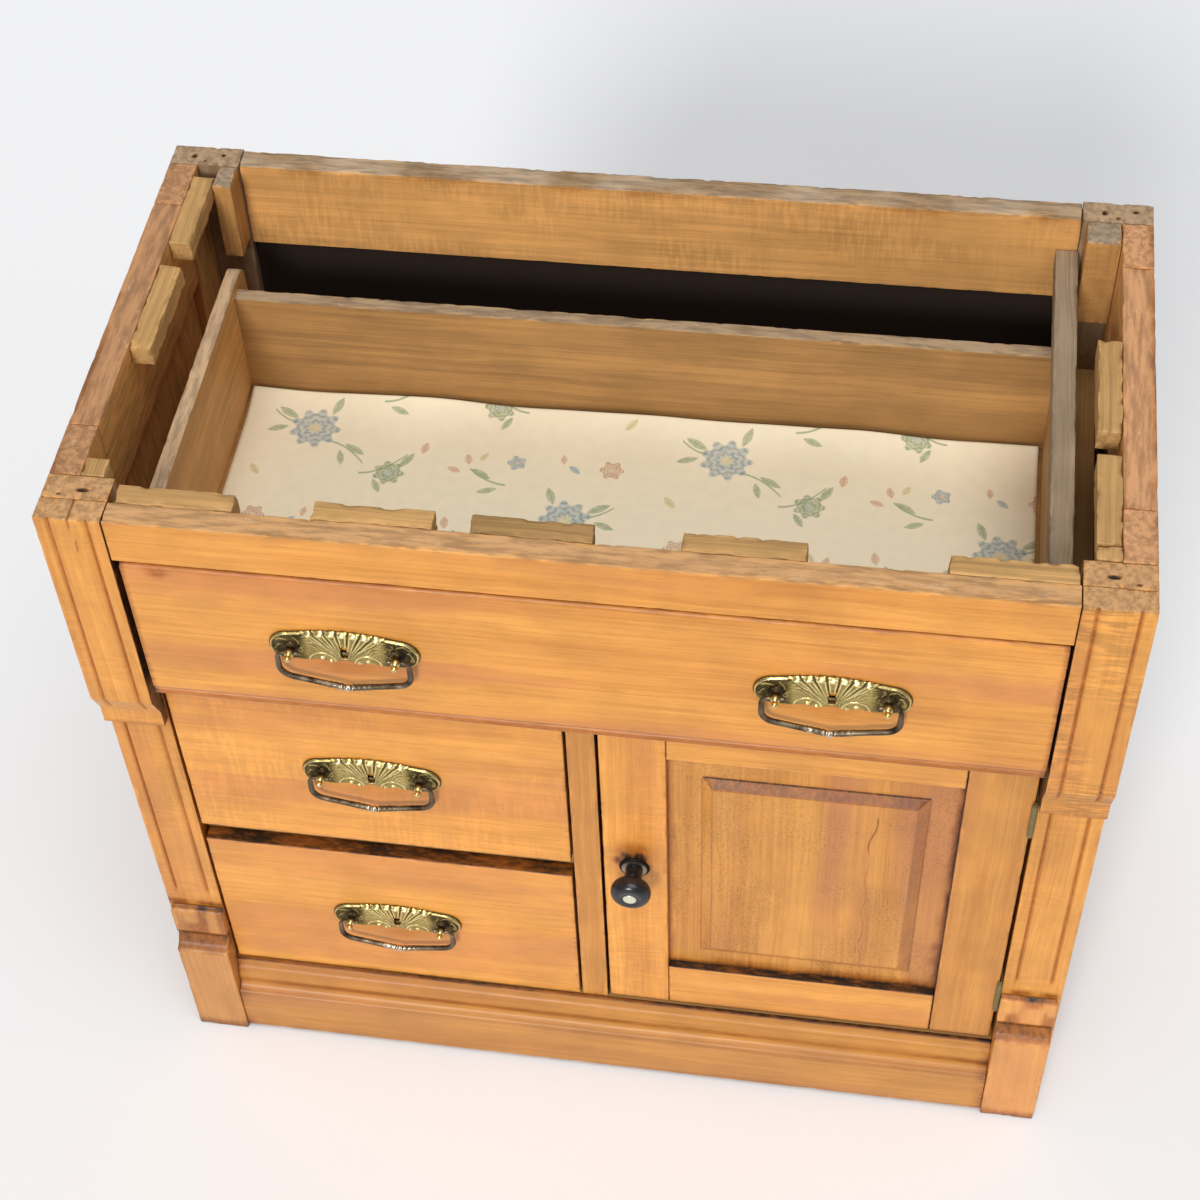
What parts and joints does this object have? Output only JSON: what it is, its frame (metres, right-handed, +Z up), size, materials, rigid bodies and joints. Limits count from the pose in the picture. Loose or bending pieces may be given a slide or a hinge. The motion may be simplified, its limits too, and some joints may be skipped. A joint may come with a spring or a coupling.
{
  "type": "washstand cabinet",
  "caption": "Antique washstand base without its top: overhanging full-width drawer, small drawers beside a panelled cupboard door, grooved posts, stamped bail pulls.",
  "frame": {"origin": "on the floor, under the middle of the whole piece's bounding box", "axes": "+X to the right of someone who faces the drawers, +Y from the front to the back, +Z up"},
  "size_m": [0.762, 0.4176, 0.705],
  "materials": {
    "front_wood": "clear varnish, worn at the edges",
    "figured_wood": "clear varnish over figured wood",
    "side_wood": "reddish stain, satin",
    "raw_edge": "bare and dusty",
    "inner_wood": "bare, darkened by use",
    "back_wood": "bare, amber with age",
    "paper": "matt printed lining sheet",
    "stamped_brass": "stamped, dark in the hollows",
    "dark_bronze": "dark bronzed, rubbed bright on the bead",
    "aged_brass": "aged and dull",
    "white_metal": "pale metal disc",
    "black_glaze": "black, glossy"
  },
  "bodies": {
    "case": {"front_post_left": "front_wood", "front_post_right": "front_wood", "upper_block_left": "figured_wood", "upper_block_right": "figured_wood", "foot_block_left": "front_wood", "foot_block_right": "front_wood", "back_post_left": "raw_edge", "back_post_right": "raw_edge", "back_top_rail": "back_wood", "back_bottom_rail": "back_wood", "back_panel": "back_wood", "side_frame_left": "side_wood", "side_frame_right": "side_wood", "side_panel_left": "side_wood", "side_panel_right": "side_wood", "front_top_rail": "front_wood", "top_drawer_rail": "inner_wood", "small_drawer_rail": "inner_wood", "divider_stile": "front_wood", "partition": "inner_wood", "bottom_rail": "inner_wood", "base_board": "front_wood", "cupboard_floor": "inner_wood", "top_runner_left": "inner_wood", "top_runner_right": "inner_wood", "small_drawer_runner": "inner_wood", "kicker": "raw_edge", "hinge_post_leaf_lower": "aged_brass", "hinge_post_leaf_upper": "aged_brass"},
    "top_drawer": {"top_drawer_front": "front_wood", "top_drawer_side_left": "inner_wood", "top_drawer_side_right": "inner_wood", "top_drawer_back": "inner_wood", "top_drawer_bottom": "inner_wood", "drawer_liner": "paper", "top_pull_left": "stamped_brass", "top_pull_right": "stamped_brass"},
    "upper_drawer": {"upper_drawer_front": "front_wood", "upper_drawer_box": "inner_wood", "upper_drawer_bottom": "inner_wood", "upper_pull": "stamped_brass"},
    "lower_drawer": {"lower_drawer_front": "front_wood", "lower_drawer_box": "inner_wood", "lower_drawer_bottom": "inner_wood", "lower_pull": "stamped_brass"},
    "door": {"door_stile_left": "front_wood", "door_stile_right": "front_wood", "door_rail_top": "front_wood", "door_rail_bottom": "front_wood", "door_panel": "figured_wood", "hinge_door_leaf_lower": "aged_brass", "hinge_door_leaf_upper": "aged_brass", "knob_rose": "black_glaze"},
    "knob": {"door_knob": "black_glaze", "knob_button": "white_metal", "catch_tongue": "aged_brass"},
    "top_bail_left": {"top_bail_left": "dark_bronze"},
    "top_bail_right": {"top_bail_right": "dark_bronze"},
    "upper_bail": {"upper_bail": "dark_bronze"},
    "lower_bail": {"lower_bail": "dark_bronze"}
  },
  "joints": [
    {"name": "top_drawer_slide", "type": "slide", "parent": "case", "child": "top_drawer", "axis": [0, -1, 0], "range_m": [0, 0.23]},
    {"name": "upper_drawer_slide", "type": "slide", "parent": "case", "child": "upper_drawer", "axis": [0, -1, 0], "range_m": [0, 0.22]},
    {"name": "lower_drawer_slide", "type": "slide", "parent": "case", "child": "lower_drawer", "axis": [0, -1, 0], "range_m": [0, 0.22]},
    {"name": "door_hinge", "type": "hinge", "parent": "case", "child": "door", "pos_m": [0.3294, -0.1738, 0.31], "axis": [0, 0, 1], "range_deg": [0, 100]},
    {"name": "knob_turn", "type": "hinge", "parent": "door", "child": "knob", "pos_m": [0.0295, -0.1712, 0.312], "axis": [0, 1, 0], "range_deg": [0, 90]},
    {"name": "top_bail_left_swing", "type": "hinge", "parent": "top_drawer", "child": "top_bail_left", "pos_m": [-0.172, -0.2002, 0.59], "axis": [-1, 0, 0], "range_deg": [-7, 140]},
    {"name": "top_bail_right_swing", "type": "hinge", "parent": "top_drawer", "child": "top_bail_right", "pos_m": [0.176, -0.2002, 0.59], "axis": [-1, 0, 0], "range_deg": [-7, 140]},
    {"name": "upper_bail_swing", "type": "hinge", "parent": "upper_drawer", "child": "upper_bail", "pos_m": [-0.176, -0.1802, 0.406], "axis": [-1, 0, 0], "range_deg": [-7, 140]},
    {"name": "lower_bail_swing", "type": "hinge", "parent": "lower_drawer", "child": "lower_bail", "pos_m": [-0.176, -0.1802, 0.19505], "axis": [-1, 0, 0], "range_deg": [-7, 140]}
  ]
}
